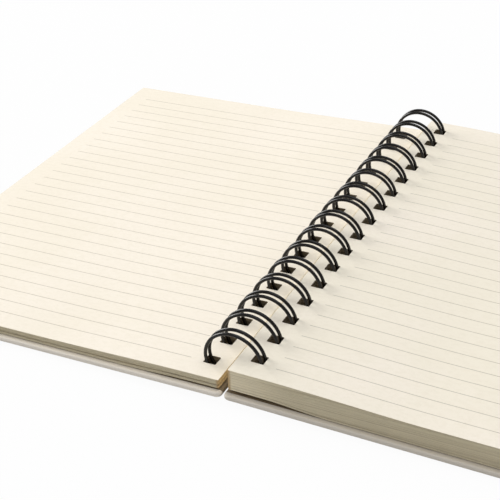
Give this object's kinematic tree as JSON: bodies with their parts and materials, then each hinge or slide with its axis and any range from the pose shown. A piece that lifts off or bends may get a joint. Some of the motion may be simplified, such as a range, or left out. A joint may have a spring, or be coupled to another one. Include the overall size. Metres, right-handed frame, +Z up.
{
  "type": "wire-bound notebook",
  "caption": "Open hard-cover notebook with ruled cream leaves on a black twin-loop wire binding.",
  "frame": {"origin": "on the table, in the middle of the spine and of the open width", "axes": "+X across the open notebook towards the back cover's leaves, +Y along the spine away from the near end, +Z up"},
  "size_m": [0.3086, 0.214, 0.0227],
  "materials": {
    "cover_board": "board wrapped in pale grey satin paper, rounded edges",
    "paper_leaves": "uncoated cream paper with fine grey ruling",
    "coated_wire": "black nylon-coated steel wire, satin gloss"
  },
  "bodies": {
    "back": {"back_cover": "cover_board", "wire_binding": "coated_wire"},
    "back_leaves": {"back_leaves": "paper_leaves"},
    "front_cover": {"front_cover": "cover_board"},
    "front_leaves": {"front_leaves": "paper_leaves"}
  },
  "joints": [
    {"name": "front_cover_turn", "type": "hinge", "parent": "back", "child": "front_cover", "pos_m": [0, 0, 0.01137], "axis": [0, 1, 0], "range_deg": [-6, 181.6]},
    {"name": "front_leaves_turn", "type": "hinge", "parent": "front_cover", "child": "front_leaves", "pos_m": [0, 0, 0.01137], "axis": [0, 1, 0], "range_deg": [0, 180.2]},
    {"name": "back_leaves_turn", "type": "hinge", "parent": "back", "child": "back_leaves", "pos_m": [0, 0, 0.01137], "axis": [0, 1, 0], "range_deg": [-180.2, 0]}
  ]
}
